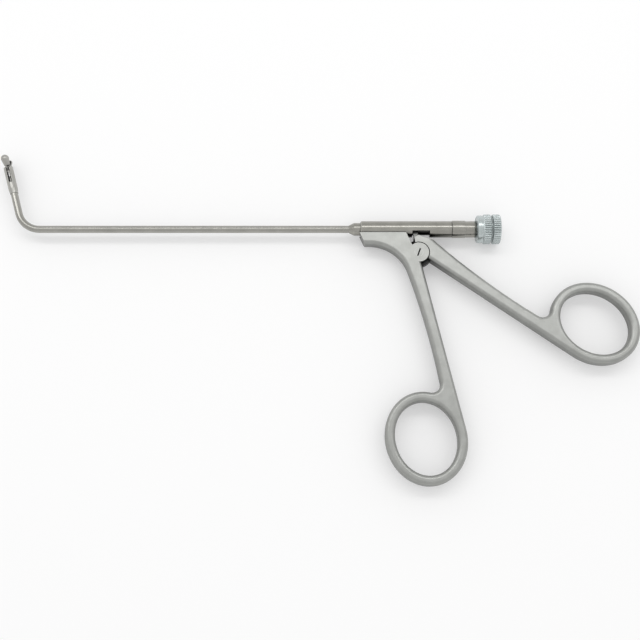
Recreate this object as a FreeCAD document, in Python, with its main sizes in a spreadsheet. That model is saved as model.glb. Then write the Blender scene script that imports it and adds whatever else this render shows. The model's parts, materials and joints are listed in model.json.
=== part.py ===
import FreeCAD, Part
import os
import re
import Sketcher

# Biopsy forceps with a long bent tube, ring handles and double-action cup jaws, lying flat.
# The handle pivot is the origin. X runs along the straight tube towards the flush port,
# Y runs from the rings to the tube, Z is the handles' thickness, with z = 0 on their lower face.
# Lengths are in millimetres and angles in degrees.

SIZES = {
    # Ring handles: both arms and rings are twins, set at two angles
    "handle_thickness": 5.0,
    "front_arm_angle": -77.0,
    "rear_arm_angle": -35.1,
    "front_root_reach": -4.7,
    "front_root_width": 6.45,
    "rear_root_reach": 1.8,
    "rear_root_width": 6.8,
    "arm_neck_width": 4.85,
    "arm_bow_radius": 260.0,
    "ring_reach": 62.6,
    "ring_length": 31.2,
    "ring_width": 27.0,
    "ring_wall": 3.3,
    "neck_blend": 3.0,
    "edge_rounding": 1.3,
    "shoulder_rounding": 14.0,
    # Pivot of the handles
    "boss_radius": 3.45,
    "boss_gap": 0.3,
    "tongue_thickness": 1.8,
    "tongue_radius": 4.75,
    "tongue_play": 0.05,
    "tongue_clearance": 0.3,
    "pivot_radius": 1.1,
    "pivot_play": 0.05,
    "pivot_thread_radius": 1.0,
    "pivot_head_radius": 1.45,
    "pivot_head_height": 0.8,
    "pivot_slot_width": 0.5,
    "pivot_slot_depth": 0.45,
    "pivot_slot_angle": 70.0,
    # Saddle of the front handle
    "saddle_front": 20.3,
    "saddle_foot": 18.5,
    "saddle_rear": 4.3,
    "saddle_heel": 2.7,
    "saddle_drop": 1.9,
    "saddle_bottom": 3.1,
    "heel_height": 3.4,
    # Nose of the rear handle
    "nose_left": 1.35,
    "nose_peak": 0.1,
    "nose_slope": 0.8,
    "nose_shoulder_drop": 2.85,
    "nose_x": 0.95,
    "nose_drop": 1.65,
    "nose_radius": 0.9,
    "nose_waist": 0.7,
    # Housing tube
    "shaft_height": 9.1,
    "housing_front": 20.0,
    "housing_rear": 11.5,
    "housing_diameter": 5.7,
    "housing_bore": 4.2,
    "housing_chamfer": 0.4,
    "window_front": 2.1,
    "window_rear": 4.0,
    "window_drop": 1.3,
    # Shaft tube
    "tube_diameter": 2.5,
    "tube_bore": 1.7,
    "tube_rear": 15.5,
    "bend_corner": 137.4,
    "bend_radius": 8.0,
    "leg_angle": 106.5,
    "leg_length": 23.4,
    "ferrule_diameter": 4.4,
    "ferrule_collar": 2.2,
    "ferrule_cone": 1.7,
    "ferrule_spigot": 4.5,
    "ferrule_lip": 0.12,
    # Flush port
    "sleeve_diameter": 6.0,
    "sleeve_step": 0.15,
    "sleeve_step_from": 5.0,
    "sleeve_length": 8.7,
    "sleeve_spigot": 2.0,
    "connector_stem": 4.8,
    "connector_depth": 5.0,
    "connector_body": 5.9,
    "lug_radius": 3.9,
    "lug_length": 1.6,
    "lug_width": 3.0,
    "guide_length": 1.2,
    "luer_mouth": 4.27,
    "luer_taper": 0.06,
    "luer_depth": 8.0,
    "channel_bore": 2.6,
    "cap_play": 0.1,
    "cap_length": 8.1,
    "collar_length": 2.1,
    "collar_diameter": 9.6,
    "knurl_diameter": 10.3,
    "band_length": 2.25,
    "band_gap": 0.8,
    "band_groove": 0.75,
    "cap_bore": 8.1,
    "cap_face": 1.0,
    "cap_chamfer": 0.35,
    "plug_stem": 1.2,
    "plug_gap": 0.02,
    "plug_length": 5.6,
    "seal_room": 0.6,
    "seal_gap": 0.03,
    "seal_inset": 0.2,
    # Slider in the housing
    "slider_diameter": 4.1,
    "slider_front": 7.4,
    "slider_rear": 6.6,
    "notch_play": 0.05,
    "notch_headroom": 0.2,
    "flush_hole": 0.8,
    "flush_hole_rise": 1.25,
    "ring_section": 0.6,
    "ring_inset": 1.2,
    "ring_play": 0.03,
    "rod_diameter": 1.3,
    "rod_seat": 5.0,
    "rod_screw_radius": 0.7,
    "rod_screw_socket": 0.35,
    "rod_screw_from_front": 3.3,
    # Pull line in the tube
    "cable_diameter": 0.95,
    "cable_play": 0.025,
    "crimp_diameter": 1.5,
    "crimp_length": 4.0,
    "crimp_overlap": 2.0,
    "crimp_from_bend": 3.0,
    # Jaw fork
    "fork_diameter": 3.2,
    "fork_length": 9.6,
    "fork_taper": 1.7,
    "fork_socket": 2.0,
    "fork_lip": 0.12,
    "ear_radius": 1.3,
    "ear_rounding": 0.7,
    "fork_slot_depth": 5.6,
    "fork_bore": 1.6,
    # Jaws and their linkage
    "jaw_opening": 28.0,
    "tail_angle": 22.0,
    "tail_length": 3.0,
    "link_length": 3.0,
    "plate_thickness": 0.26,
    "plate_play": 0.03,
    "bar_width": 0.9,
    "hinge_radius": 0.35,
    "hinge_play": 0.03,
    "hinge_boss": 0.75,
    "rivet_radius": 0.22,
    "rivet_play": 0.04,
    "link_free_play": 0.15,
    "cup_length": 3.9,
    "cup_width": 2.9,
    "cup_waist": 2.1,
    "cup_wall": 0.28,
    "cup_gap": 0.15,
    "cup_heel": 0.4,
    "rim_gap": 0.02,
    "yoke_diameter": 1.5,
    "yoke_guide": 1.0,
    "yoke_flat": 2.6,
    "yoke_eye": 0.45,
    "yoke_socket": 1.0,
}

doc = FreeCAD.newDocument("biopsy_forceps")
sheet = doc.addObject("Spreadsheet::Sheet", "sizes")
for row, (word, value) in enumerate(SIZES.items(), 1):
    sheet.set(f"A{row}", word)
    sheet.set(f"B{row}", str(value))
    sheet.setAlias(f"B{row}", word)
doc.recompute()

# Places that several pieces share, as formulas of the sheet's sizes
MID = "handle_thickness / 2"
SADDLE_TOP = "(shaft_height - saddle_drop)"
NOSE_SHOULDER = "(shaft_height - nose_shoulder_drop)"
NOSE_HEIGHT = "(shaft_height - nose_drop)"
RING_SIDE = "ring_width / 2"
NECK_REACH = "(ring_reach - ring_length * 0.29)"
TANGENT = "bend_radius * tan((180 - leg_angle) / 2)"
ROD_FRONT = f"({TANGENT} - bend_corner + crimp_from_bend)"
CABLE_SOCKET = "(cable_diameter / 2 + cable_play)"
COLLAR_FRONT = "(-housing_front - ferrule_collar)"
SLEEVE_REAR = "(housing_rear + sleeve_length)"
CAP_FRONT = "(housing_rear + sleeve_length + cap_play)"
CONNECTOR_REAR = f"({CAP_FRONT} + cap_length - cap_face - seal_room)"
SLOT_LAYER = "(tongue_thickness + 2 * tongue_play)"
SLOT_HALF = "(2 * plate_thickness + 2.5 * plate_play)"
INNER_LAYER = "plate_play / 2"
OUTER_LAYER = "(plate_thickness + 1.5 * plate_play)"
EYE_HALF = "(plate_thickness + plate_play / 2)"
PIN_HALF = "sqrt((fork_diameter / 2) ^ 2 - hinge_radius ^ 2)"
REST_TAIL = "(tail_angle + jaw_opening)"
YOKE_REACH = f"(tail_length * cos{REST_TAIL} + sqrt(link_length ^ 2 - (tail_length * sin{REST_TAIL}) ^ 2))"
YOKE_REAR = "(fork_length - fork_socket + yoke_guide)"
CUP_FROM = "(ear_radius + cup_gap)"
X_PLANE, Y_PLANE, Z_PLANE = "YZ_Plane", "XZ_Plane", "XY_Plane"
NODES = []


def formula(text):
    """Turns the words of a formula into references to the sheet."""
    return re.sub(r"[a-z]+(?:_[a-z]+)+", lambda word: "sizes." + word.group(0), str(text))


def number(text):
    """The present value of a formula."""
    return float(sheet.evalExpression(formula(text)))


def bind(thing, **formulas):
    """Binds properties to formulas; a double underscore stands for a dot in the property's path."""
    for path, text in formulas.items():
        thing.setExpression(path.replace("__", "."), formula(text))


def node(thing, label):
    """Keeps a finished sub-part under its own name."""
    thing.Label = label
    NODES.append(thing)
    return thing


def placement(x=0, y=0, z=0, axis=(0, 0, 1), angle=0):
    """A place and one turn, all given as formulas."""
    turn = FreeCAD.Rotation(FreeCAD.Vector(*axis), number(angle))
    return FreeCAD.Placement(FreeCAD.Vector(number(x), number(y), number(z)), turn)


# On the housing's axis, and at the jaw hinge with x towards the jaws' tips and y along the hinge pin
ON_AXIS = placement(0, "shaft_height", MID)
AT_HINGE = placement(
    "leg_length * cos(leg_angle) - bend_corner",
    "shaft_height + leg_length * sin(leg_angle)",
    MID,
    angle="leg_angle",
)
ALONG_X = placement(axis=(0, 1, 0), angle=90)
ALONG_Y = placement(axis=(1, 0, 0), angle=-90)


def along_arm(hand, reach, side):
    """A point on a ring handle: reach along its arm from the pivot, side towards its outer edge."""
    angle = "front_arm_angle" if hand < 0 else "rear_arm_angle"
    x = f"({reach}) * cos({angle}) - {hand} * ({side}) * sin({angle})"
    y = f"({reach}) * sin({angle}) + {hand} * ({side}) * cos({angle})"
    return x, y


def new_body(name, place=None):
    body = doc.addObject("PartDesign::Body", name)
    if place is not None:
        body.Placement = place
    return body


def new_sketch(body, name, plane, offset=0):
    """A sketch on one of the body's own origin planes, lifted by an offset along its normal."""
    sketch = body.newObject("Sketcher::SketchObject", name)
    origin = [feature for feature in body.Origin.OriginFeatures if feature.Role == plane][0]
    sketch.AttachmentSupport = [(origin, "")]
    sketch.MapMode = "FlatFace"
    bind(sketch, AttachmentOffset__Base__z=offset)
    return sketch


def dimension(sketch, kind, *where, size):
    """A dimension of a sketch, bound to a formula."""
    index = sketch.addConstraint(Sketcher.Constraint(kind, *where, number(size)))
    sketch.setExpression(f"Constraints[{index}]", formula(size))


def pin_point(sketch, piece, end, point):
    dimension(sketch, "DistanceX", -1, 1, piece, end, size=point[0])
    dimension(sketch, "DistanceY", -1, 1, piece, end, size=point[1])


def draw_outline(sketch, points, bows=None, closed=True):
    """Straight runs between points. bows maps a run's number to (radius, side) for an arc instead:
    side 1 bows to the left of the run and -1 to the right."""
    bows = bows or {}
    spots = [FreeCAD.Vector(number(x), number(y), 0) for x, y in points]
    runs = len(points) if closed else len(points) - 1
    first = sketch.GeometryCount
    for run in range(runs):
        start, end = spots[run], spots[(run + 1) % len(points)]
        if run in bows:
            radius, side = bows[run]
            chord = end - start
            left = FreeCAD.Vector(-chord.y, chord.x, 0).normalize()
            size = number(radius)
            sagitta = size - (size ** 2 - (chord.Length / 2) ** 2) ** 0.5
            middle = (start + end) / 2 + left * side * sagitta
            sketch.addGeometry(Part.Arc(start, middle, end))
            dimension(sketch, "Radius", first + run, size=radius)
        else:
            sketch.addGeometry(Part.LineSegment(start, end))
    for run in range(runs):
        # An arc always runs anticlockwise, so its first point may be the run's end
        def tip(piece, wanted):
            return 1 if sketch.getPoint(piece, 1).distanceToPoint(wanted) < 1e-6 else 2
        piece, after = first + run, (run + 1) % len(points)
        pin_point(sketch, piece, tip(piece, spots[run]), points[run])
        if closed or run + 1 < runs:
            following = first + after % runs
            sketch.addConstraint(Sketcher.Constraint(
                "Coincident", piece, tip(piece, spots[after]), following, tip(following, spots[after])))
        else:
            pin_point(sketch, piece, tip(piece, spots[after]), points[after])


def draw_circle(sketch, x, y, radius):
    piece = sketch.addGeometry(Part.Circle(
        FreeCAD.Vector(number(x), number(y), 0), FreeCAD.Vector(0, 0, 1), number(radius)))
    pin_point(sketch, piece, 3, (x, y))
    dimension(sketch, "Radius", piece, size=radius)


def draw_ellipse(sketch, centre, length, width, angle):
    """An ellipse whose long axis lies at an angle."""
    turn = FreeCAD.Rotation(FreeCAD.Vector(0, 0, 1), number(angle))
    middle = FreeCAD.Vector(number(centre[0]), number(centre[1]), 0)
    far = middle + turn.multVec(FreeCAD.Vector(number(length) / 2, 0, 0))
    side = middle + turn.multVec(FreeCAD.Vector(0, number(width) / 2, 0))
    piece = sketch.addGeometry(Part.Ellipse(far, side, middle))
    sketch.exposeInternalGeometry(piece)
    major, minor = piece + 1, piece + 2
    pin_point(sketch, piece, 3, centre)
    dimension(sketch, "Distance", major, size=length)
    dimension(sketch, "Distance", minor, size=width)
    start, end = sketch.getPoint(major, 1), sketch.getPoint(major, 2)
    tips = (1, 2) if (end - start).dot(far - middle) > 0 else (2, 1)
    x = f"({length}) * cos({angle})"
    dimension(sketch, "DistanceX", major, tips[0], major, tips[1], size=x)


def pad(body, sketch, length, middle=False):
    feature = body.newObject("PartDesign::Pad", "pad")
    feature.Profile = sketch
    feature.Midplane = middle
    bind(feature, Length=length)
    doc.recompute()
    return feature


def pocket(body, sketch, length=None, middle=False, upward=False):
    """Cuts a sketch into the body; no length cuts right through it on both sides of the sketch."""
    before = body.Shape.Volume
    feature = body.newObject("PartDesign::Pocket", "pocket")
    feature.Profile = sketch
    feature.Midplane = middle
    feature.Reversed = upward
    if length is None:
        feature.Type = "ThroughAll"
        feature.Midplane = True
    else:
        bind(feature, Length=length)
    doc.recompute()
    if not body.Shape.Volume < before - 1e-6:
        raise ValueError(f"{body.Name}: {sketch.Name} cuts nothing")
    return feature


def circle_cut(body, name, x, y, radius, length=None, plane=Z_PLANE, offset=0, middle=False, upward=False):
    sketch = new_sketch(body, name, plane, offset)
    draw_circle(sketch, x, y, radius)
    return pocket(body, sketch, length, middle, upward)


def edges_where(shape, test):
    return [f"Edge{index}" for index, edge in enumerate(shape.Edges, 1) if test(edge)]


def fillet(body, names, radius):
    base = body.Tip
    feature = body.newObject("PartDesign::Fillet", "fillet")
    feature.Base = (base, names)
    bind(feature, Radius=radius)
    doc.recompute()
    return feature


def turned(name, points, bows=None, place=ON_AXIS):
    """A body turned about its own X axis from an outline of (x, radius) points."""
    body = new_body(name, place)
    sketch = new_sketch(body, name + "_profile", Z_PLANE)
    draw_outline(sketch, points, bows)
    feature = body.newObject("PartDesign::Revolution", name + "_turn")
    feature.Profile = sketch
    feature.ReferenceAxis = (sketch, ["H_Axis"])
    doc.recompute()
    return body


def cylinder(name, radius, length, place):
    thing = doc.addObject("Part::Cylinder", name)
    bind(thing, Radius=radius, Height=length)
    thing.Placement = place
    return thing


def box(name, length, width, height, place):
    thing = doc.addObject("Part::Box", name)
    bind(thing, Length=length, Width=width, Height=height)
    thing.Placement = place
    return thing


def fuse(name, *things):
    thing = doc.addObject("Part::MultiFuse", name)
    thing.Shapes = list(things)
    thing.Refine = True
    doc.recompute()
    return thing


def cut(name, base, *tools):
    tool = tools[0] if len(tools) == 1 else fuse(name + "_tools", *tools)
    thing = doc.addObject("Part::Cut", name)
    thing.Base = base
    thing.Tool = tool
    doc.recompute()
    return thing


# Ring handles

def is_upright(edge):
    start, end = edge.Vertexes[0].Point, edge.Vertexes[-1].Point
    return len(edge.Vertexes) == 2 and (end - start).cross(FreeCAD.Vector(0, 0, 1)).Length < 1e-6


def upright_at(body, point, reach=0.6):
    """The names of the upright edges within a short reach of a point of the plan."""
    spot = FreeCAD.Vector(number(point[0]), number(point[1]), 0)

    def test(edge):
        low = edge.Vertexes[0].Point
        return is_upright(edge) and (FreeCAD.Vector(low.x, low.y, 0) - spot).Length < reach
    return edges_where(body.Shape, test)


def arm_and_ring(body, hand, root):
    """The plate of a ring handle: its arm with the given root outline, its ring and their blend."""
    angle = "front_arm_angle" if hand < 0 else "rear_arm_angle"
    outline = root + [
        along_arm(hand, NECK_REACH, "arm_neck_width"),
        along_arm(hand, "ring_reach", "ring_wall / 2"),
        along_arm(hand, "ring_reach", 0),
        along_arm(hand, 2, 0),
    ]
    plate = new_sketch(body, body.Name + "_plate", Z_PLANE)
    draw_outline(plate, outline, {len(root) - 1: ("arm_bow_radius", -hand)})
    pad(body, plate, "handle_thickness")
    ring = new_sketch(body, body.Name + "_ring", Z_PLANE)
    centre = along_arm(hand, "ring_reach", RING_SIDE)
    draw_ellipse(ring, centre, "ring_length", "ring_width", angle)
    pad(body, ring, "handle_thickness")
    corner = corner_of_neck(body, hand)
    fillet(body, corner, "neck_blend")
    return angle, centre


def corner_of_neck(body, hand):
    """The upright edge where the arm's outer side meets the ring."""
    near = along_arm(hand, "ring_reach - ring_length * 0.4", "arm_neck_width")
    return upright_at(body, near, reach=number("ring_length") * 0.1)


def finish_ring(body, angle, centre, keep):
    """Cuts the finger hole and rounds the long edges of the plate that keep() accepts."""
    hole = new_sketch(body, body.Name + "_hole", Z_PLANE)
    draw_ellipse(hole, centre, "ring_length - 2 * ring_wall", "ring_width - 2 * ring_wall", angle)
    pocket(body, hole)
    thick = number("handle_thickness")

    def test(edge):
        heights = [edge.valueAt(edge.FirstParameter).z, edge.valueAt(edge.LastParameter).z]
        flat = abs(heights[0] - heights[1]) < 1e-6
        on_face = min(abs(heights[0]), abs(heights[0] - thick)) < 1e-6
        return flat and on_face and keep(edge.CenterOfMass)
    fillet(body, edges_where(body.Shape, test), "edge_rounding")


def layer_disc(body, name, radius):
    """Adds a disc round the pivot in the tongue's layer."""
    sketch = new_sketch(body, name, Z_PLANE, MID)
    draw_circle(sketch, 0, 0, radius)
    pad(body, sketch, "tongue_thickness", middle=True)


def make_front_handle():
    body = new_body("front_handle")
    corner = along_arm(-1, "front_root_reach", "front_root_width")
    root = [
        ("-saddle_heel", "heel_height"),
        ("-saddle_rear", SADDLE_TOP),
        ("-saddle_front", SADDLE_TOP),
        ("-saddle_foot", "saddle_bottom"),
        corner,
    ]
    angle, centre = arm_and_ring(body, -1, root)
    fillet(body, upright_at(body, corner), "shoulder_rounding")
    top, front = number(SADDLE_TOP), -number("saddle_foot")

    def keep(middle):
        on_saddle = middle.y > top - 1e-3 or middle.x < front + 1e-3
        at_heel = -number("saddle_rear") <= middle.x <= 0 and middle.y > 0
        return not on_saddle and not at_heel
    finish_ring(body, angle, centre, keep)
    boss = new_sketch(body, "boss", Z_PLANE)
    draw_circle(boss, 0, 0, "boss_radius")
    pad(body, boss, "handle_thickness")
    circle_cut(body, "tongue_slot", 0, 0, "tongue_radius + tongue_clearance", SLOT_LAYER,
               offset=MID, middle=True)
    circle_cut(body, "thread_bore", 0, 0, "pivot_thread_radius")
    circle_cut(body, "shank_bore", 0, 0, "pivot_radius", f"handle_thickness / 2 + {SLOT_LAYER} / 2",
               offset="handle_thickness")
    circle_cut(body, "head_seat", 0, 0, "pivot_head_radius", "pivot_head_height", offset="handle_thickness")
    circle_cut(body, "housing_seat", "shaft_height", MID, "housing_diameter / 2", plane=X_PLANE)
    node(body, "front_handle")


def make_rear_handle():
    body = new_body("rear_handle")
    root = [
        (-1.2, "boss_radius - 0.4"),
        ("-nose_left", f"{NOSE_SHOULDER} - nose_slope"),
        ("nose_peak", NOSE_SHOULDER),
        ("nose_peak + 1.5 * nose_slope", f"{NOSE_SHOULDER} - nose_slope"),
        along_arm(1, "rear_root_reach", "rear_root_width"),
    ]
    angle, centre = arm_and_ring(body, 1, root)
    past_nose = number(root[-1][0])

    def keep(middle):
        return middle.x > past_nose
    finish_ring(body, angle, centre, keep)
    cheek = "(handle_thickness - tongue_thickness) / 2"
    circle_cut(body, "upper_recess", 0, 0, "boss_radius + boss_gap", cheek, offset="handle_thickness")
    circle_cut(body, "lower_recess", 0, 0, "boss_radius + boss_gap", cheek, upward=True)
    layer_disc(body, "tongue", "tongue_radius")
    stem = new_sketch(body, "nose_stem", Z_PLANE, MID)
    left, right = "-nose_x - nose_waist", "-nose_x + nose_waist"
    draw_outline(stem, [(left, 0), (right, 0), (right, NOSE_HEIGHT), (left, NOSE_HEIGHT)])
    pad(body, stem, "tongue_thickness", middle=True)
    tip = new_sketch(body, "nose_tip", Z_PLANE, MID)
    draw_circle(tip, "-nose_x", NOSE_HEIGHT, "nose_radius")
    pad(body, tip, "tongue_thickness", middle=True)
    circle_cut(body, "pivot_bore", 0, 0, "pivot_radius + pivot_play")
    node(body, "rear_handle")


def make_pivot_screw():
    """Slotted screw: its head seats in the upper cheek and its thread in the lower one."""
    body = new_body("pivot_blank")
    profile = new_sketch(body, "pivot_profile", Y_PLANE)
    shoulder = f"handle_thickness / 2 - {SLOT_LAYER} / 2"
    seat = "handle_thickness - pivot_head_height"
    draw_outline(profile, [
        (0, 0), ("pivot_thread_radius", 0), ("pivot_thread_radius", shoulder), ("pivot_radius", shoulder),
        ("pivot_radius", seat), ("pivot_head_radius", seat), ("pivot_head_radius", "handle_thickness"),
        (0, "handle_thickness")])
    feature = body.newObject("PartDesign::Revolution", "pivot_turn")
    feature.Profile = profile
    feature.ReferenceAxis = (profile, ["V_Axis"])
    doc.recompute()
    slot = box("driver_slot", "4 * pivot_head_radius", "pivot_slot_width", "pivot_slot_depth",
               placement(angle="pivot_slot_angle") * placement(
                   "-2 * pivot_head_radius", "-pivot_slot_width / 2", "handle_thickness - pivot_slot_depth"))
    node(cut("slotted_pivot", body, slot), "pivot_screw")


# Housing and shaft

def make_housing():
    body = turned("housing", [
        ("-housing_front", "housing_bore / 2"),
        ("housing_rear", "housing_bore / 2"),
        ("housing_rear", "housing_diameter / 2"),
        ("-housing_front + housing_chamfer", "housing_diameter / 2"),
        ("-housing_front", "housing_diameter / 2 - housing_chamfer")])
    window = new_sketch(body, "window", Z_PLANE)
    low = "-housing_diameter"
    draw_outline(window, [
        ("-window_front", low), ("window_rear", low),
        ("window_rear", "-window_drop"), ("-window_front", "-window_drop")])
    pocket(body, window)
    node(body, "housing_tube")


def make_ferrule():
    node(turned("ferrule", [
        ("-housing_front - ferrule_collar - ferrule_cone", "tube_diameter / 2"),
        ("-housing_front + ferrule_spigot", "tube_diameter / 2"),
        ("-housing_front + ferrule_spigot", "housing_bore / 2"),
        ("-housing_front", "housing_bore / 2"),
        ("-housing_front", "ferrule_diameter / 2"),
        (COLLAR_FRONT, "ferrule_diameter / 2"),
        ("-housing_front - ferrule_collar - ferrule_cone", "tube_diameter / 2 + ferrule_lip")]),
        "shaft_ferrule")


def bent_path(body, name, rear, end):
    """The centre line from the rear along the axis, round the bend and up the leg."""
    sketch = new_sketch(body, name, Z_PLANE)
    draw_outline(sketch, [
        (rear, 0),
        (f"{TANGENT} - bend_corner", 0),
        (f"{TANGENT} * cos(leg_angle) - bend_corner", f"{TANGENT} * sin(leg_angle)"),
        (f"({end}) * cos(leg_angle) - bend_corner", f"({end}) * sin(leg_angle)")],
        bows={1: ("bend_radius", 1)}, closed=False)
    return sketch


def along_path(body, kind, name, rear, end, diameter):
    section = new_sketch(body, name + "_section", X_PLANE, rear)
    draw_circle(section, 0, 0, f"{diameter} / 2")
    path = bent_path(body, name + "_path", rear, end)
    feature = body.newObject("PartDesign::" + kind, name + "_pipe")
    feature.Profile = section
    feature.Spine = path
    doc.recompute()


def make_shaft_tube():
    body = new_body("shaft_tube", ON_AXIS)
    rear, end = "-tube_rear", "leg_length - fork_length + fork_socket"
    along_path(body, "AdditivePipe", "outside", rear, end, "tube_diameter")
    along_path(body, "SubtractivePipe", "inside", rear, end, "tube_bore")
    node(body, "shaft_tube")


def make_cable():
    body = new_body("pull_cable", ON_AXIS)
    end = f"(leg_length - {YOKE_REAR} + yoke_socket)"
    along_path(body, "AdditivePipe", "cable", ROD_FRONT, end, "cable_diameter")
    node(body, "pull_cable")


def make_pull_rod():
    node(turned("rod", [
        (ROD_FRONT, 0),
        ("-slider_front + rod_seat", 0),
        ("-slider_front + rod_seat", "rod_diameter / 2"),
        (f"{ROD_FRONT} + crimp_overlap", "rod_diameter / 2"),
        (f"{ROD_FRONT} + crimp_overlap", CABLE_SOCKET),
        (ROD_FRONT, CABLE_SOCKET)]), "pull_rod")
    node(turned("crimp", [
        (f"{ROD_FRONT} - crimp_length + crimp_overlap", CABLE_SOCKET),
        (f"{ROD_FRONT} + crimp_overlap", CABLE_SOCKET),
        (f"{ROD_FRONT} + crimp_overlap", "crimp_diameter / 2"),
        (f"{ROD_FRONT} - crimp_length + crimp_overlap", "crimp_diameter / 2")]), "cable_crimp")


# Slider

def make_slider():
    groove = "slider_diameter / 2 - ring_section"
    front, rear = "-slider_front", "slider_rear"
    body = turned("slider", [
        (front, 0), (rear, 0), (rear, "slider_diameter / 2"),
        (f"{rear} - ring_inset", "slider_diameter / 2"), (f"{rear} - ring_inset", groove),
        (f"{rear} - ring_inset - ring_section", groove),
        (f"{rear} - ring_inset - ring_section", "slider_diameter / 2"),
        (f"{front} + ring_inset + ring_section", "slider_diameter / 2"),
        (f"{front} + ring_inset + ring_section", groove),
        (f"{front} + ring_inset", groove), (f"{front} + ring_inset", "slider_diameter / 2"),
        (front, "slider_diameter / 2")])
    notch = new_sketch(body, "notch", Z_PLANE)
    left, right = "-nose_x - nose_radius - notch_play", "-nose_x + nose_radius + notch_play"
    low, roof = "-slider_diameter", "nose_radius + notch_headroom - nose_drop"
    draw_outline(notch, [(left, low), (right, low), (right, roof), (left, roof)])
    pocket(body, notch)
    circle_cut(body, "flush_hole", "flush_hole_rise", 0, "flush_hole / 2", plane=X_PLANE)
    circle_cut(body, "rod_seat", 0, 0, "rod_diameter / 2", "rod_seat", plane=X_PLANE, offset="-slider_front",
               upward=True)
    circle_cut(body, "screw_hole", "-slider_front + rod_screw_from_front", 0, "rod_screw_radius",
               "slider_diameter", plane=Y_PLANE, upward=True)
    node(body, "drive_slider")


def make_slider_rings():
    rings = []
    for name, place in (("front_ring", "-slider_front + ring_inset + ring_section / 2"),
                        ("rear_ring", "slider_rear - ring_inset - ring_section / 2")):
        ring = doc.addObject("Part::Torus", name)
        bind(ring, Radius1="housing_bore / 2 - ring_play - ring_section / 2", Radius2="ring_section / 2")
        ring.Placement = ON_AXIS * placement(place) * ALONG_X
        rings.append(ring)
    group = doc.addObject("Part::Compound", "rings")
    group.Links = rings
    doc.recompute()
    node(group, "slider_o_rings")


def make_rod_screw():
    """Socket screw in the slider's underside that clamps the pull rod."""
    at = ON_AXIS * placement("-slider_front + rod_screw_from_front", "-rod_diameter / 2",
                             axis=(1, 0, 0), angle=90)
    length = "slider_diameter / 2 - rod_diameter / 2 - ring_play * 2"
    thread = cylinder("rod_screw_thread", "rod_screw_radius", length, at)
    socket = cylinder("rod_screw_drive", "rod_screw_socket", "rod_screw_socket * 2",
                      at * placement(0, 0, f"{length} - rod_screw_socket"))
    node(cut("rod_screw", thread, socket), "rod_set_screw")


# Jaw fork and the pull yoke

def make_fork():
    body = turned("fork", [
        ("-fork_length", "tube_diameter / 2"),
        ("-fork_length + fork_socket", "tube_diameter / 2"),
        ("-fork_length + fork_socket", "fork_bore / 2"),
        ("ear_radius", "fork_bore / 2"),
        ("ear_radius", "fork_diameter / 2 - ear_rounding"),
        ("ear_radius - ear_rounding", "fork_diameter / 2"),
        ("-fork_length + fork_taper", "fork_diameter / 2"),
        ("-fork_length", "tube_diameter / 2 + fork_lip")],
        bows={4: ("ear_rounding", 1)}, place=AT_HINGE)
    slot = new_sketch(body, "jaw_slot", Z_PLANE)
    draw_outline(slot, [
        ("-fork_slot_depth", f"-{SLOT_HALF}"), ("2 * ear_radius", f"-{SLOT_HALF}"),
        ("2 * ear_radius", SLOT_HALF), ("-fork_slot_depth", SLOT_HALF)])
    pocket(body, slot)
    circle_cut(body, "hinge_bore", 0, 0, "hinge_radius", plane=Y_PLANE)
    corners = new_sketch(body, "ear_corners", Y_PLANE)
    for side in (1, -1):
        draw_outline(corners, [
            (0, f"{side} * ear_radius"), ("ear_radius", 0), ("2 * ear_radius", 0),
            ("2 * ear_radius", f"{side} * fork_diameter"), (0, f"{side} * fork_diameter")],
            bows={0: ("ear_radius", side)})
    pocket(body, corners)
    node(body, "jaw_fork")


def make_hinge_pin():
    node(cylinder("hinge_pin", "hinge_radius", f"2 * {PIN_HALF}",
                  AT_HINGE * placement(0, f"-{PIN_HALF}") * ALONG_Y), "jaw_hinge_pin")


def make_yoke():
    """A round shank that slides in the tube's end, with a flat eye at its front for both links."""
    front, rear = f"(-{YOKE_REACH} + yoke_eye)", f"(-{YOKE_REAR})"
    body = turned("yoke", [
        (rear, CABLE_SOCKET), (f"{rear} + yoke_socket", CABLE_SOCKET),
        (f"{rear} + yoke_socket", 0), (front, 0), (front, "yoke_diameter / 2"), (rear, "yoke_diameter / 2")],
        place=AT_HINGE)
    for name, side in (("left_flat", 1), ("right_flat", -1)):
        flat = new_sketch(body, name, Z_PLANE)
        inner, outer = f"{side} * {EYE_HALF}", f"{side} * yoke_diameter"
        back = f"(-{YOKE_REACH} - yoke_flat)"
        draw_outline(flat, [(back, inner), ("ear_radius", inner), ("ear_radius", outer), (back, outer)])
        pocket(body, flat)
    circle_cut(body, "yoke_bore", f"-{YOKE_REACH}", 0, "rivet_radius", plane=Y_PLANE)
    node(body, "pull_yoke")
    pin_half = f"({OUTER_LAYER} + plate_thickness)"
    node(cylinder("yoke_rivet", "rivet_radius", f"2 * {pin_half}",
                  AT_HINGE * placement(f"-{YOKE_REACH}", f"-{pin_half}") * ALONG_Y), "yoke_pin")


# Jaws: each is made shut, with its rim on the middle plane, and then turned open about the hinge.
# side is 1 for the near jaw, whose cup lies above the middle plane, and -1 for the far jaw.

def jaw_frame(side):
    return AT_HINGE * placement(axis=(0, 1, 0), angle=f"-{side} * jaw_opening")


def flipped(side):
    """Turns a shape made for the near jaw half round the tip axis for the far jaw."""
    return placement(axis=(1, 0, 0), angle=0 if side > 0 else 180)


def plate_bar(name, x, length, angle, width, low, place):
    """A flat bar with round ends in a layer along the hinge pin, from x on at an angle to -x."""
    at, thick = place * placement(x, low, 0, axis=(0, 1, 0), angle=angle), "plate_thickness"
    near_eye = cylinder(name + "_near_eye", f"({width}) / 2", thick, at * ALONG_Y)
    far_eye = cylinder(name + "_far_eye", f"({width}) / 2", thick, at * placement(f"-({length})") * ALONG_Y)
    web = box(name + "_web", length, thick, width, at * placement(f"-({length})", 0, f"-({width}) / 2"))
    return [near_eye, far_eye, web]


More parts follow.
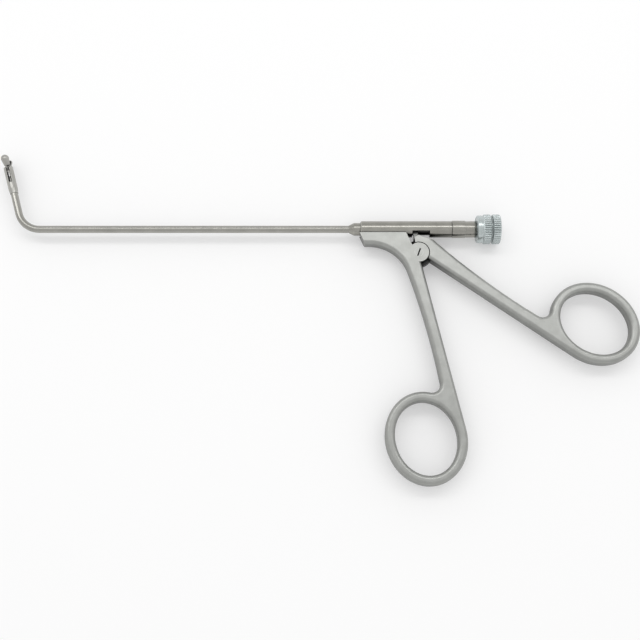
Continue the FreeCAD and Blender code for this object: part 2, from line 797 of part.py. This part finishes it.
def make_jaw(side, label):
    place = jaw_frame(side) * flipped(side)
    heel, tip = CUP_FROM, f"({CUP_FROM} + cup_length)"
    outer, inner = "cup_width / 2", "(cup_width / 2 - cup_wall)"
    waist, inner_waist = "cup_waist / 2", "(cup_waist / 2 - cup_wall)"
    cup = new_body(label + "_cup", place)
    profile = new_sketch(cup, label + "_profile", Z_PLANE)
    draw_outline(profile, [
        (heel, 0), (heel, f"{waist} - cup_heel"), (f"{heel} + cup_heel", waist), (f"{tip} - {outer}", outer),
        (tip, 0), (f"{tip} - cup_wall", 0), (f"{tip} - {outer}", inner),
        (f"{heel} + 2 * cup_wall", inner_waist), (f"{heel} + 2 * cup_wall", 0)],
        bows={1: ("cup_heel", 1), 3: (outer, 1), 5: (inner, -1)})
    turn = cup.newObject("PartDesign::Revolution", label + "_turn")
    turn.Profile = profile
    turn.ReferenceAxis = (profile, ["H_Axis"])
    turn.Angle = 180
    doc.recompute()
    rim = box(label + "_rim", "2 * cup_length", "2 * cup_width", "rim_gap",
              place * placement(f"{heel} - cup_length / 2", "-cup_width", 0))
    shell = cut(label + "_shell", cup, rim)
    thick = f"({OUTER_LAYER} + plate_thickness - {INNER_LAYER})"
    boss = cylinder(label + "_boss", "hinge_boss", thick, place * placement(0, INNER_LAYER) * ALONG_Y)
    neck = box(label + "_neck", f"{heel} + 2 * cup_wall", thick, "hinge_boss - rim_gap",
               place * placement(0, INNER_LAYER, "rim_gap"))
    tail = plate_bar(label + "_tail", 0, "tail_length", "-tail_angle", "bar_width", INNER_LAYER, place)
    blank = fuse(label + "_blank", shell, boss, neck, *tail)
    at_rivet = place * placement(axis=(0, 1, 0), angle="-tail_angle") * placement("-tail_length")
    hinge_bore = cylinder(label + "_hinge_bore", "hinge_radius + hinge_play", "fork_diameter",
                          place * placement(0, "-fork_diameter / 2") * ALONG_Y)
    rivet_bore = cylinder(label + "_rivet_bore", "rivet_radius", "fork_diameter",
                          at_rivet * placement(0, "-fork_diameter / 2") * ALONG_Y)
    node(cut(label + "_pierced", blank, hinge_bore, rivet_bore), label)
    node(cylinder(label + "_rivet", "rivet_radius", thick, at_rivet * placement(0, INNER_LAYER) * ALONG_Y),
         label.replace("jaw", "tail_pin"))


def make_link(side, label):
    """Links the yoke's pin to a jaw's tail pin; its hole there is long, which leaves that pivot free."""
    place = AT_HINGE * flipped(side) * placement(
        f"-{YOKE_REACH}", OUTER_LAYER, 0, axis=(0, 1, 0),
        angle=f"180 deg + asin(tail_length * sin{REST_TAIL} / link_length)")
    bar = fuse(label + "_bar", *plate_bar(label, 0, "link_length", 0, "bar_width", 0, place))
    hole = "(rivet_radius + rivet_play)"
    yoke_hole = cylinder(label + "_yoke_hole", hole, "plate_thickness", place * ALONG_Y)
    free_hole = plate_bar(label + "_free", "-link_length", "link_free_play",
                          "180 - tail_angle - jaw_opening / 2", f"2 * {hole}", 0, place)
    node(cut(label + "_pierced", bar, yoke_hole, *free_hole), label)


# Flush port

def make_port_sleeve():
    rear = SLEEVE_REAR
    step = "(housing_rear + sleeve_step_from)"
    node(turned("sleeve", [
        ("housing_rear - sleeve_spigot", "channel_bore / 2"),
        (f"{rear} - connector_depth", "channel_bore / 2"),
        (f"{rear} - connector_depth", "connector_stem / 2"),
        (rear, "connector_stem / 2"), (rear, "sleeve_diameter / 2 - sleeve_step"),
        (step, "sleeve_diameter / 2 - sleeve_step"), (f"{step} - sleeve_step", "sleeve_diameter / 2"),
        ("housing_rear", "sleeve_diameter / 2"), ("housing_rear", "housing_bore / 2"),
        ("housing_rear - sleeve_spigot", "housing_bore / 2")]), "port_sleeve")


def make_luer_port():
    """Female luer connector: a six-per-cent taper inside, and outside a flange that centres the cap's
    mouth and two lugs for its thread."""
    front, rear = f"({SLEEVE_REAR} - connector_depth)", CONNECTOR_REAR
    taper_end = f"({rear} - luer_depth)"
    guide, guide_side = f"({CAP_FRONT} + cap_play)", "cap_bore / 2 - cap_play"
    barrel = turned("luer_barrel", [
        (front, "channel_bore / 2"), (taper_end, "channel_bore / 2"),
        (taper_end, "luer_mouth / 2 - luer_depth * luer_taper / 2"), (rear, "luer_mouth / 2"),
        (rear, "connector_body / 2"), (f"{guide} + guide_length", "connector_body / 2"),
        (f"{guide} + guide_length", guide_side), (guide, guide_side), (guide, "connector_body / 2"),
        (SLEEVE_REAR, "connector_body / 2"), (SLEEVE_REAR, "connector_stem / 2"),
        (front, "connector_stem / 2")])
    lug_ring = turned("lug_ring", [
        (f"{rear} - lug_length", "connector_body / 2 - cap_play"), (rear, "connector_body / 2 - cap_play"),
        (rear, "lug_radius"), (f"{rear} - lug_length", "lug_radius")])
    band = box("lug_band", "lug_length", "2 * lug_radius", "lug_width",
               ON_AXIS * placement(f"{rear} - lug_length", "-lug_radius", "-lug_width / 2"))
    lugs = doc.addObject("Part::MultiCommon", "lugs")
    lugs.Shapes = [lug_ring, band]
    doc.recompute()
    node(fuse("luer", barrel, lugs), "luer_port")


def make_flush_cap():
    """Knurled closing cap: a plain collar, two gripping bands with a groove between, and a closed face."""
    front = CAP_FRONT
    rear = f"({front} + cap_length)"
    second = f"({rear} - cap_chamfer - band_length)"
    first = f"({second} - band_gap)"
    grip, groove, collar = "knurl_diameter / 2", "(knurl_diameter / 2 - band_groove)", "collar_diameter / 2"
    body = turned("cap", [
        (front, "cap_bore / 2"), (f"{rear} - cap_face", "cap_bore / 2"),
        (f"{rear} - cap_face", "plug_stem"), (rear, "plug_stem"), (rear, f"{grip} - cap_chamfer"),
        (f"{rear} - cap_chamfer", grip), (second, grip),
        (f"{second} - band_gap / 2", groove), (first, grip),
        (f"{first} - band_length", grip), (f"{front} + collar_length", collar),
        (f"{front} + cap_chamfer", collar),
        (front, f"{collar} - cap_chamfer")])
    node(body, "flush_cap")


def make_cap_plug():
    """Male cone that closes the luer taper, riveted through the cap's face, and its sealing washer."""
    rear = f"({CAP_FRONT} + cap_length)"
    seat = f"({rear} - cap_face)"
    face = CONNECTOR_REAR
    plug_rear = "(luer_mouth / 2 - plug_gap)"
    node(turned("plug", [
        (f"{face} - plug_length", 0), (rear, 0), (rear, "plug_stem"), (seat, "plug_stem"),
        (seat, plug_rear), (face, plug_rear),
        (f"{face} - plug_length", f"{plug_rear} - plug_length * luer_taper / 2")]), "cap_plug")
    gap = "seal_gap"
    node(turned("seal", [
        (f"{face} + {gap}", "luer_mouth / 2 + seal_gap"), (f"{seat} - {gap}", "luer_mouth / 2 + seal_gap"),
        (f"{seat} - {gap}", "cap_bore / 2 - seal_inset"), (f"{face} + {gap}", "cap_bore / 2 - seal_inset")]),
        "cap_seal")


def build():
    make_front_handle()
    make_rear_handle()
    make_pivot_screw()
    make_housing()
    make_ferrule()
    make_shaft_tube()
    make_pull_rod()
    make_cable()
    make_slider()
    make_slider_rings()
    make_rod_screw()
    make_fork()
    make_hinge_pin()
    make_yoke()
    make_jaw(1, "near_jaw")
    make_jaw(-1, "far_jaw")
    make_link(1, "near_link")
    make_link(-1, "far_link")
    make_port_sleeve()
    make_luer_port()
    make_flush_cap()
    make_cap_plug()


def export():
    """Writes each sub-part after checking that the whole document is sound."""
    doc.recompute()
    for thing in doc.Objects:
        if {"Invalid", "Error"} & set(thing.State):
            raise ValueError(f"{thing.Name} failed: {thing.State}")
    os.makedirs("parts", exist_ok=True)
    for thing in NODES:
        shape = thing.Shape
        if shape.isNull() or not shape.isValid() or not shape.Solids:
            raise ValueError(f"{thing.Label} has no sound solid")
        shape.exportStep(f"parts/{thing.Label}.step")
        print(f"{thing.Label}: {len(shape.Solids)} solid, {shape.Volume:.3f} mm3")


build()
export()
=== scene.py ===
import json
from math import cos, pi, radians, sin

import bmesh
import bpy
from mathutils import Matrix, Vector


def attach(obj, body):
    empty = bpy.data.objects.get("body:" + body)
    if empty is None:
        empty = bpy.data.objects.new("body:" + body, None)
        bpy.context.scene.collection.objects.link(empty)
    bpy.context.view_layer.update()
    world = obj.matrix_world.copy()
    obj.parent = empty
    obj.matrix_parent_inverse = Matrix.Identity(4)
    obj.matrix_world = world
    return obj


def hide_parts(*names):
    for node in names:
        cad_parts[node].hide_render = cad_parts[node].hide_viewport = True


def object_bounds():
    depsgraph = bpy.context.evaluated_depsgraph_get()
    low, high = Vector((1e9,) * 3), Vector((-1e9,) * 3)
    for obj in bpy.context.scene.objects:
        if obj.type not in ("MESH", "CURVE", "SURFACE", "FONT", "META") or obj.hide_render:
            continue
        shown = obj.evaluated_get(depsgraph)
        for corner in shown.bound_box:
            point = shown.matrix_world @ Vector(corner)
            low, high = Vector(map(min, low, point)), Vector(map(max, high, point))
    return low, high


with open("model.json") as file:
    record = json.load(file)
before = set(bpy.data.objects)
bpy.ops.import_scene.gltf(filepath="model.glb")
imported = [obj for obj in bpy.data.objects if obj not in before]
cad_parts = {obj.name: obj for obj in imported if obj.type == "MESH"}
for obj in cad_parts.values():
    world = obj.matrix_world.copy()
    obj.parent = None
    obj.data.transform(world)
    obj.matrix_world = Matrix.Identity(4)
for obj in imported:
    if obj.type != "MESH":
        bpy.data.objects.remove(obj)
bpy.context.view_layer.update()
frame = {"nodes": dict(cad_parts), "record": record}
nodes = frame["nodes"]
MM = 0.001

# The flush port's sleeve and knurled cap, both turned about one line along X, in the model's own millimetres
AXIS_Y, AXIS_Z = 9.1, 2.5
CAP_FRONT, CAP_LENGTH, CAP_BORE = 20.3, 8.1, 8.1
CAP_FACE, CAP_CHAMFER, PLUG_STEM = 1.0, 0.35, 1.2
DISH_RADIUS, DISH_DEPTH = 3.3, 0.12
COLLAR_DIAMETER, COLLAR_LENGTH = 9.6, 2.1
KNURL_DIAMETER, BAND_LENGTH, BAND_GAP, BAND_GROOVE = 10.3, 2.25, 0.8, 0.75
RIB_COUNT, RIB_DEPTH, RIB_SHARPNESS, POINTS_PER_RIB = 40, 0.34, 1.6, 8
HOUSING_REAR, SLEEVE_LENGTH, SLEEVE_DIAMETER = 11.5, 8.7, 6.0
SLEEVE_STEP_FROM, SLEEVE_STEP, SLEEVE_SIDES = 5.0, 0.15, 128
SPIGOT_LENGTH, SPIGOT_RADIUS, CHANNEL_RADIUS = 2.0, 2.1, 1.3
SOCKET_DEPTH, SOCKET_RADIUS = 5.0, 2.4
SEAM_WIDTH, SEAM_RADIUS = 0.26, 2.62

# Where painted shade darkens the recesses round the pivot, the sunk tongue and the screw's slot: a radius and
# a height, in millimetres
TONGUE_RADIUS, TONGUE_TOP = 4.9, 3.5
SCREW_RADIUS, SLOT_TOP = 1.5, 4.9

# Turn of each handle's arm about Z in degrees, which its grain follows
FRONT_ARM, REAR_ARM = -77, -35

# Directions of the grain, its scale per metre and its depth in millimetres
PLAIN = {"grain": (1, 1, 1), "grain_scale": 9000, "grain_depth": 0.003}
DRAWN = {"grain": (30, 1, 1), "grain_scale": 6000, "grain_depth": 0.003}
TURNED = {"grain": (1, 40, 40), "grain_scale": 6000, "grain_depth": 0.003}
BRUSHED = {"grain": (9, 1, 1), "grain_scale": 7000, "grain_depth": 0.004}
STRANDED = {"grain": (3, 1, 1), "grain_scale": 6000, "grain_depth": 0.020}
CLOUD_SCALE, RUBBER_SCALE, RUBBER_DEPTH = 220, 4000, 0.01
WEAR_WIDTH, WEAR_GAIN, EDGE_ROUND = 0.3, 1.22, 0.12

# The studio, in metres; the world's levels go by the height of the direction, from 0 to 1
FLOOR_SIZE, FLOOR_LEVEL, FLOOR_GLOW = 8, 0.70, 0.28
HORIZON_LEVEL, TOP_LEVEL = 0.95, 0.90
BETWEEN_LEVELS = ((0.24, 0.92), (0.5, 0.78), (0.8, 0.84))
STRIP_LENGTH, STRIP_WIDTH, STRIP_RADIANCE = 1.3, 0.14, 2.3
STRIP_AIM, STRIP_OFFSET = Vector((-0.03, -0.02, 0)), Vector((0, 0.29, 0.65))

# The photograph's camera, found from the two equal rings: metres, degrees and pixels
CAMERA_DISTANCE, CAMERA_TILT = 0.350, 15.0
IMAGE_SIDE, MM_PER_PIXEL = 640, 0.342
SENSOR_WIDTH = 36
AIM = Vector((-0.0340, -0.02285, 0.0))


# Materials

def new_material(name):
    """An empty material, its node tree and its shader."""
    material = bpy.data.materials.new(name)
    material.use_nodes = True
    tree = material.node_tree
    return material, tree, tree.nodes["Principled BSDF"]


def grey(level):
    return (level, level, level, 1)


def object_noise(tree, stretch, scale, detail=2.0, rough=0.5, turn=0.0):
    """Noise over the piece's own metres, drawn out by stretch along axes turned about Z by some degrees."""
    place = tree.nodes.new("ShaderNodeTexCoord")
    mapping = tree.nodes.new("ShaderNodeMapping")
    mapping.vector_type = "TEXTURE"
    mapping.inputs["Rotation"].default_value = (0, 0, radians(turn))
    mapping.inputs["Scale"].default_value = stretch
    noise = tree.nodes.new("ShaderNodeTexNoise")
    noise.inputs["Scale"].default_value = scale
    noise.inputs["Detail"].default_value = detail
    noise.inputs["Roughness"].default_value = rough
    tree.links.new(place.outputs["Object"], mapping.inputs["Vector"])
    tree.links.new(mapping.outputs["Vector"], noise.inputs["Vector"])
    return noise.outputs["Fac"]


def maths(tree, operation, first, second=0):
    """One Math node; each operand is a number or another node's output."""
    step = tree.nodes.new("ShaderNodeMath")
    step.operation = operation
    for socket, value in zip(step.inputs, (first, second)):
        if isinstance(value, (int, float)):
            socket.default_value = value
        else:
            tree.links.new(value, socket)
    return step.outputs["Value"]


def map_range(tree, value, low, high, to_low, to_high):
    """Maps low..high to to_low..to_high, and holds the ends beyond it."""
    ramp = tree.nodes.new("ShaderNodeMapRange")
    ramp.inputs["From Min"].default_value = low
    ramp.inputs["From Max"].default_value = high
    ramp.inputs["To Min"].default_value = to_low
    ramp.inputs["To Max"].default_value = to_high
    tree.links.new(value, ramp.inputs["Value"])
    return ramp.outputs["Result"]


def noise_range(tree, noise, to_low, to_high):
    """Maps the middle of a noise, where nearly all of it lies, to to_low..to_high."""
    return map_range(tree, noise, 0.3, 0.7, to_low, to_high)


def blend_colour(tree, factor, low, high, kind="MIX"):
    """Mixes two colours, each a tuple or another node's output."""
    mix = tree.nodes.new("ShaderNodeMix")
    mix.data_type = "RGBA"
    mix.blend_type = kind
    for socket, colour in (("A", low), ("B", high)):
        if isinstance(colour, tuple):
            mix.inputs[socket].default_value = (*colour, 1)
        else:
            tree.links.new(colour, mix.inputs[socket])
    if isinstance(factor, float):
        mix.inputs["Factor"].default_value = factor
    else:
        tree.links.new(factor, mix.inputs["Factor"])
    return mix.outputs["Result"]


def darken(tree, colour, factor):
    return blend_colour(tree, 1.0, colour, factor, "MULTIPLY")


def bump(tree, height, depth, strength):
    """Relief from a height, depth millimetres deep."""
    relief = tree.nodes.new("ShaderNodeBump")
    relief.inputs["Strength"].default_value = strength
    relief.inputs["Distance"].default_value = depth * MM
    tree.links.new(height, relief.inputs["Height"])
    return relief


def smoothed_normal(tree, width):
    """The normal with each edge rounded over width millimetres."""
    smoothed = tree.nodes.new("ShaderNodeBevel")
    smoothed.samples = 4
    smoothed.inputs["Radius"].default_value = width * MM
    return smoothed.outputs["Normal"]


def part_of(tree, output, axis):
    """One coordinate of the piece's own position or normal."""
    place = tree.nodes.new("ShaderNodeTexCoord")
    split = tree.nodes.new("ShaderNodeSeparateXYZ")
    tree.links.new(place.outputs[output], split.inputs["Vector"])
    return split.outputs[axis]


def painted_side_shade(tree):
    """Painted shade on the sides: 1 on the ground flat faces, falling to 0.7 on the sides between them."""
    upright = maths(tree, "ABSOLUTE", part_of(tree, "Normal", "Z"))
    return map_range(tree, upright, 0.15, 0.75, 0.7, 1)


def painted_recess_shade(tree, radius, top):
    """Painted shade in the recess round the pivot below a height: 0.1 there and 1 elsewhere."""
    fade = 0.1
    squares = [maths(tree, "POWER", part_of(tree, "Object", axis), 2) for axis in ("X", "Y")]
    far = maths(tree, "SQRT", maths(tree, "ADD", *squares))
    outside = map_range(tree, far, (radius - fade) * MM, radius * MM, 0.1, 1)
    above = map_range(tree, part_of(tree, "Object", "Z"), (top - fade) * MM, top * MM, 0.1, 1)
    return maths(tree, "MAXIMUM", outside, above)


def edge_wear(tree):
    """1 along the sharp edges and 0 on the faces: how far a smoothed normal turns away."""
    surface = tree.nodes.new("ShaderNodeNewGeometry")
    agree = tree.nodes.new("ShaderNodeVectorMath")
    agree.operation = "DOT_PRODUCT"
    tree.links.new(smoothed_normal(tree, WEAR_WIDTH), agree.inputs[0])
    tree.links.new(surface.outputs["Normal"], agree.inputs[1])
    return map_range(tree, agree.outputs["Value"], 0.995, 0.9, 0, 1)


def painted_occlusion_shade(tree, reach, deep):
    """Painted shade: 1 on open faces, falling to deep in gaps, slots and grooves and near other surfaces, the
    floor too.
    What is further than reach millimetres away doesn't count."""
    open_sky = tree.nodes.new("ShaderNodeAmbientOcclusion")
    open_sky.samples = 12
    open_sky.inputs["Distance"].default_value = reach * MM
    return map_range(tree, open_sky.outputs["AO"], 0.25, 0.88, deep, 1)


def steel(name, dark, light, roughness, grain, grain_scale, grain_depth,
          turn=0.0, reach=10, deep=0.05, shade=None):
    """Bare steel: cloudy colour, patchy roughness, a fine grain drawn out along its axes, brighter rubbed
    edges, and painted shade in crevices and near other surfaces. shade is a function that gives one more
    factor of the colour, a painted shade."""
    material, tree, shader = new_material(name)
    shader.inputs["Metallic"].default_value = 1.0
    clouds = object_noise(tree, (1, 1, 1), CLOUD_SCALE, 5, 0.6)
    streaks = object_noise(tree, grain, grain_scale, 3, 0.6, turn)
    colour = blend_colour(tree, noise_range(tree, clouds, 0, 1), dark, light)
    colour = darken(tree, colour, noise_range(tree, streaks, 0.93, 1.05))
    rubbed = tuple(min(1.0, part * WEAR_GAIN) for part in light)
    colour = blend_colour(tree, edge_wear(tree), colour, rubbed)
    # Painted shade from the shade function: the handles' sides and the recesses round the pivot
    if shade:
        colour = darken(tree, colour, shade(tree))
    # Painted shade in crevices and near other surfaces, the floor among them
    colour = darken(tree, colour, painted_occlusion_shade(tree, reach, deep))
    tree.links.new(colour, shader.inputs["Base Color"])
    tree.links.new(noise_range(tree, streaks, *roughness), shader.inputs["Roughness"])
    relief = bump(tree, streaks, grain_depth, 0.5)
    tree.links.new(smoothed_normal(tree, EDGE_ROUND), relief.inputs["Normal"])
    tree.links.new(relief.outputs["Normal"], shader.inputs["Normal"])
    return material


def rubber(name):
    """Black rubber with a fine even grain."""
    material, tree, shader = new_material(name)
    shader.inputs["Base Color"].default_value = grey(0.02)
    shader.inputs["Specular IOR Level"].default_value = 0.35
    grain = object_noise(tree, (1, 1, 1), RUBBER_SCALE)
    tree.links.new(noise_range(tree, grain, 0.42, 0.6), shader.inputs["Roughness"])
    relief = bump(tree, grain, RUBBER_DEPTH, 0.3)
    tree.links.new(relief.outputs["Normal"], shader.inputs["Normal"])
    return material


def make_materials():
    """A finish for each of the record's slots, in linear colours, and one for each piece that has its own:
    the grain of a handle follows its arm, and painted shade darkens the handles' sides, the tongue and the
    screw's slot."""
    # Every handle gets painted shade on its sides unless another shade is given
    def handle(name, turn, shade=painted_side_shade):
        return steel(name, (0.338, 0.343, 0.327), (0.402, 0.408, 0.391), (0.33, 0.43), **BRUSHED,
                     turn=turn, shade=shade)

    # Painted shade on the sides, times painted shade in the recess round the pivot
    def pivot_shade(radius, top):
        return lambda tree: maths(tree, "MULTIPLY", painted_side_shade(tree), painted_recess_shade(tree, radius, top))

    def housing(name, reach):
        return steel(name, (0.31, 0.303, 0.275), (0.37, 0.363, 0.333), (0.17, 0.26), **DRAWN, reach=reach)

    return {
        "handle_steel": handle("satin_plain", 0),
        "front_handle": handle("satin_front", FRONT_ARM),
        "rear_handle": handle("satin_rear", REAR_ARM, pivot_shade(TONGUE_RADIUS, TONGUE_TOP)),
        "pivot_screw": handle("satin_screw", 0, pivot_shade(SCREW_RADIUS, SLOT_TOP)),
        "housing_steel": housing("drawn_housing", 10),
        "sleeve_steel": housing("drawn_sleeve", 1.2),
        "shaft_steel": steel("drawn_shaft", (0.33, 0.325, 0.30), (0.39, 0.383, 0.355), (0.18, 0.27), **DRAWN),
        "port_steel": steel("turned_port", (0.49, 0.54, 0.54), (0.57, 0.62, 0.62), (0.20, 0.30), **TURNED,
                            reach=1.5, deep=0.3),
        "jaw_steel": steel("matt_jaw", (0.38, 0.375, 0.35), (0.46, 0.455, 0.43), (0.28, 0.38), **PLAIN),
        "pin_steel": steel("polished_pin", (0.50, 0.50, 0.49), (0.58, 0.58, 0.57), (0.14, 0.24),
                           **{**PLAIN, "grain_depth": 0.002}),
        # A near-black finish that stands for the shade inside the housing's window: painted shade
        "slider_steel": steel("turned_slider_painted_shade", (0.14, 0.136, 0.128), (0.20, 0.196, 0.186), (0.24, 0.36),
                              **TURNED),
        "cable_steel": steel("stranded_cable", (0.30, 0.295, 0.28), (0.40, 0.395, 0.38), (0.30, 0.50),
                             **STRANDED),
        "seal_rubber": rubber("black_silicone"),
    }


def dress(thing, material, smooth_angle=30):
    """One material over the whole piece, and smooth shading except across its edges."""
    thing.data.materials.clear()
    thing.data.materials.append(material)
    thing.data.shade_smooth()
    thing.data.set_sharp_from_angle(angle=radians(smooth_angle))


def dress_nodes(materials):
    """Each CAD node gets its own finish, or else its slot's."""
    slots = {entry["node"]: entry["material_slot"] for entry in frame["record"]["subparts"]}
    for name, thing in nodes.items():
        dress(thing, materials.get(name) or materials[slots[name]])


# Flush port

def cap_outline():
    """(x, radius, ribbed) points of the cap, from its bore out over the front rim, along the outside with its
    collar and two ribbed bands, and over the dished face to the stem's hole."""
    rear = CAP_FRONT + CAP_LENGTH
    grip, collar, bore = KNURL_DIAMETER / 2, COLLAR_DIAMETER / 2, CAP_BORE / 2
    groove = grip - BAND_GROOVE
    collar_end = CAP_FRONT + COLLAR_LENGTH
    second = rear - CAP_CHAMFER - BAND_LENGTH
    first_end = second - BAND_GAP
    first = first_end - BAND_LENGTH
    ease, dish = 0.12, rear - DISH_DEPTH
    return [
        (rear - CAP_FACE, bore, 0), (CAP_FRONT + ease, bore, 0), (CAP_FRONT, bore + ease, 0),
        (CAP_FRONT, collar - CAP_CHAMFER, 0), (CAP_FRONT + 0.4 * CAP_CHAMFER, collar - 0.3 * CAP_CHAMFER, 0),
        (CAP_FRONT + CAP_CHAMFER, collar, 0), (collar_end - 0.35, collar, 0),
        (collar_end - 0.2, collar - 0.1, 0), (collar_end - 0.02, collar - 0.06, 0),
        (first - 0.1, grip - 0.2, 0.4), (first, grip, 1), (first_end - ease, grip, 1),
        (first_end, grip - 0.1, 1),
        (first_end + 0.36 * BAND_GAP, groove, 0), (first_end + 0.64 * BAND_GAP, groove, 0),
        (second, grip - 0.1, 1), (second + ease, grip, 1), (rear - CAP_CHAMFER, grip, 1),
        (rear - ease, grip - 0.2, 0.4), (rear, grip - CAP_CHAMFER - 0.05, 0),
        (rear, DISH_RADIUS, 0), (dish, DISH_RADIUS - 0.2, 0), (dish, PLUG_STEM + 0.1, 0),
        (rear - 0.2, PLUG_STEM, 0), (rear - CAP_FACE, PLUG_STEM, 0),
    ]


def sleeve_outline():
    """(x, radius, ribbed) points of the port's sleeve: its spigot in the housing, the socket for the port, the
    small step in its length and the fine seam against the housing."""
    wide, slim = SLEEVE_DIAMETER / 2, SLEEVE_DIAMETER / 2 - SLEEVE_STEP
    rear = HOUSING_REAR + SLEEVE_LENGTH
    spigot, socket = HOUSING_REAR - SPIGOT_LENGTH, rear - SOCKET_DEPTH
    step, seam = HOUSING_REAR + SLEEVE_STEP_FROM, HOUSING_REAR + SEAM_WIDTH
    return [(x, radius, 0) for x, radius in (
        (spigot, CHANNEL_RADIUS), (socket, CHANNEL_RADIUS), (socket, SOCKET_RADIUS), (rear, SOCKET_RADIUS),
        (rear, slim - 0.1), (rear - 0.03, slim - 0.03), (rear - 0.1, slim),
        (step + 0.02, slim), (step - 0.06, slim + 0.02), (step - 0.14, wide - 0.02), (step - 0.22, wide),
        (seam + 0.1, wide), (seam + 0.03, wide - 0.04), (seam, wide - 0.12), (seam, SEAM_RADIUS),
        (HOUSING_REAR, SEAM_RADIUS), (HOUSING_REAR, SPIGOT_RADIUS), (spigot, SPIGOT_RADIUS))]


def lathe(name, outline, parts, ribs=0, rib_depth=0.0):
    """A shell turned about the housing's axis from (x, radius, ribbed) points; its ribs run along the axis."""
    mesh = bmesh.new()
    rings = []
    for x, radius, ribbed in outline:
        ring = []
        for part in range(parts):
            turn = 2 * pi * part / parts
            wave = 0.5 - 0.5 * cos(ribs * turn)
            out = radius - ribbed * rib_depth * wave ** RIB_SHARPNESS
            place = Vector((x, AXIS_Y + out * sin(turn), AXIS_Z + out * cos(turn))) * MM
            ring.append(mesh.verts.new(place))
        rings.append(ring)
    for before, after in zip(rings, rings[1:] + rings[:1]):
        for part in range(parts):
            following = (part + 1) % parts
            mesh.faces.new((before[part], before[following], after[following], after[part]))
    bmesh.ops.recalc_face_normals(mesh, faces=mesh.faces)
    shell = bpy.data.meshes.new(name)
    mesh.to_mesh(shell)
    mesh.free()
    thing = bpy.data.objects.new(name, shell)
    bpy.context.scene.collection.objects.link(thing)
    return thing


# Studio

def make_floor():
    """A pale floor that shows white to the camera and in the steel, and keeps the object's soft shadow."""
    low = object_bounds()[0].z
    bpy.ops.mesh.primitive_plane_add(size=FLOOR_SIZE, location=(0, 0, low))
    floor = bpy.context.object
    floor.name = "floor"
    material, tree, shader = new_material("pale_floor")
    shader.inputs["Base Color"].default_value = grey(FLOOR_LEVEL)
    shader.inputs["Roughness"].default_value = 0.9
    shader.inputs["Specular IOR Level"].default_value = 0.0
    rays = tree.nodes.new("ShaderNodeLightPath")
    seen = rays.outputs["Is Camera Ray"]
    for ray in ("Is Glossy Ray", "Is Transmission Ray"):
        seen = maths(tree, "MAXIMUM", seen, rays.outputs[ray])
    shader.inputs["Emission Color"].default_value = grey(1)
    tree.links.new(maths(tree, "MULTIPLY", seen, FLOOR_GLOW), shader.inputs["Emission Strength"])
    floor.data.materials.append(material)


def make_world():
    """A pale wall round the horizon, a dimmer band above it and a pale ceiling."""
    world = bpy.data.worlds.new("studio")
    bpy.context.scene.world = world
    world.use_nodes = True
    tree = world.node_tree
    ramp = tree.nodes.new("ShaderNodeValToRGB")
    tree.links.new(part_of(tree, "Generated", "Z"), ramp.inputs["Fac"])
    tree.links.new(ramp.outputs["Color"], tree.nodes["Background"].inputs["Color"])
    stops = ramp.color_ramp.elements
    stops[0].color, stops[1].color = grey(HORIZON_LEVEL), grey(TOP_LEVEL)
    for height, level in BETWEEN_LEVELS:
        stops.new(height).color = grey(level)


def make_light():
    """One long strip beyond the tube, which draws the thin bright line along it."""
    light = bpy.data.lights.new("strip", "AREA")
    light.shape = "RECTANGLE"
    light.size, light.size_y = STRIP_LENGTH, STRIP_WIDTH
    light.energy = STRIP_RADIANCE * pi * STRIP_LENGTH * STRIP_WIDTH
    thing = bpy.data.objects.new("strip", light)
    bpy.context.scene.collection.objects.link(thing)
    thing.location = STRIP_AIM + STRIP_OFFSET
    thing.rotation_euler = (-STRIP_OFFSET).to_track_quat("-Z", "Y").to_euler()


def make_camera():
    """The photograph's view: lens and place follow from the tilt, the distance and the scale."""
    data = bpy.data.cameras.new("photo_camera")
    data.sensor_width = SENSOR_WIDTH
    data.lens = SENSOR_WIDTH * CAMERA_DISTANCE / (MM_PER_PIXEL * MM) / IMAGE_SIDE
    data.clip_start, data.clip_end = 0.01, 20
    camera = bpy.data.objects.new("photo_camera", data)
    bpy.context.scene.collection.objects.link(camera)
    tilt = radians(CAMERA_TILT)
    back = Vector((0, -sin(tilt), cos(tilt)))
    camera.location = AIM + back * CAMERA_DISTANCE
    camera.rotation_euler = (-back).to_track_quat("-Z", "Y").to_euler()
    bpy.context.scene.camera = camera


materials = make_materials()
dress_nodes(materials)

cap = lathe("knurled_cap", cap_outline(), RIB_COUNT * POINTS_PER_RIB, RIB_COUNT, RIB_DEPTH)
dress(cap, materials["port_steel"], 40)
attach(cap, "cap")
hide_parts("flush_cap")

sleeve = lathe("seamed_sleeve", sleeve_outline(), SLEEVE_SIDES)
dress(sleeve, materials["sleeve_steel"])
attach(sleeve, "handle_and_shaft")
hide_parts("port_sleeve")

make_floor()
make_world()
make_light()
make_camera()
bpy.context.scene.view_settings.view_transform = "Standard"
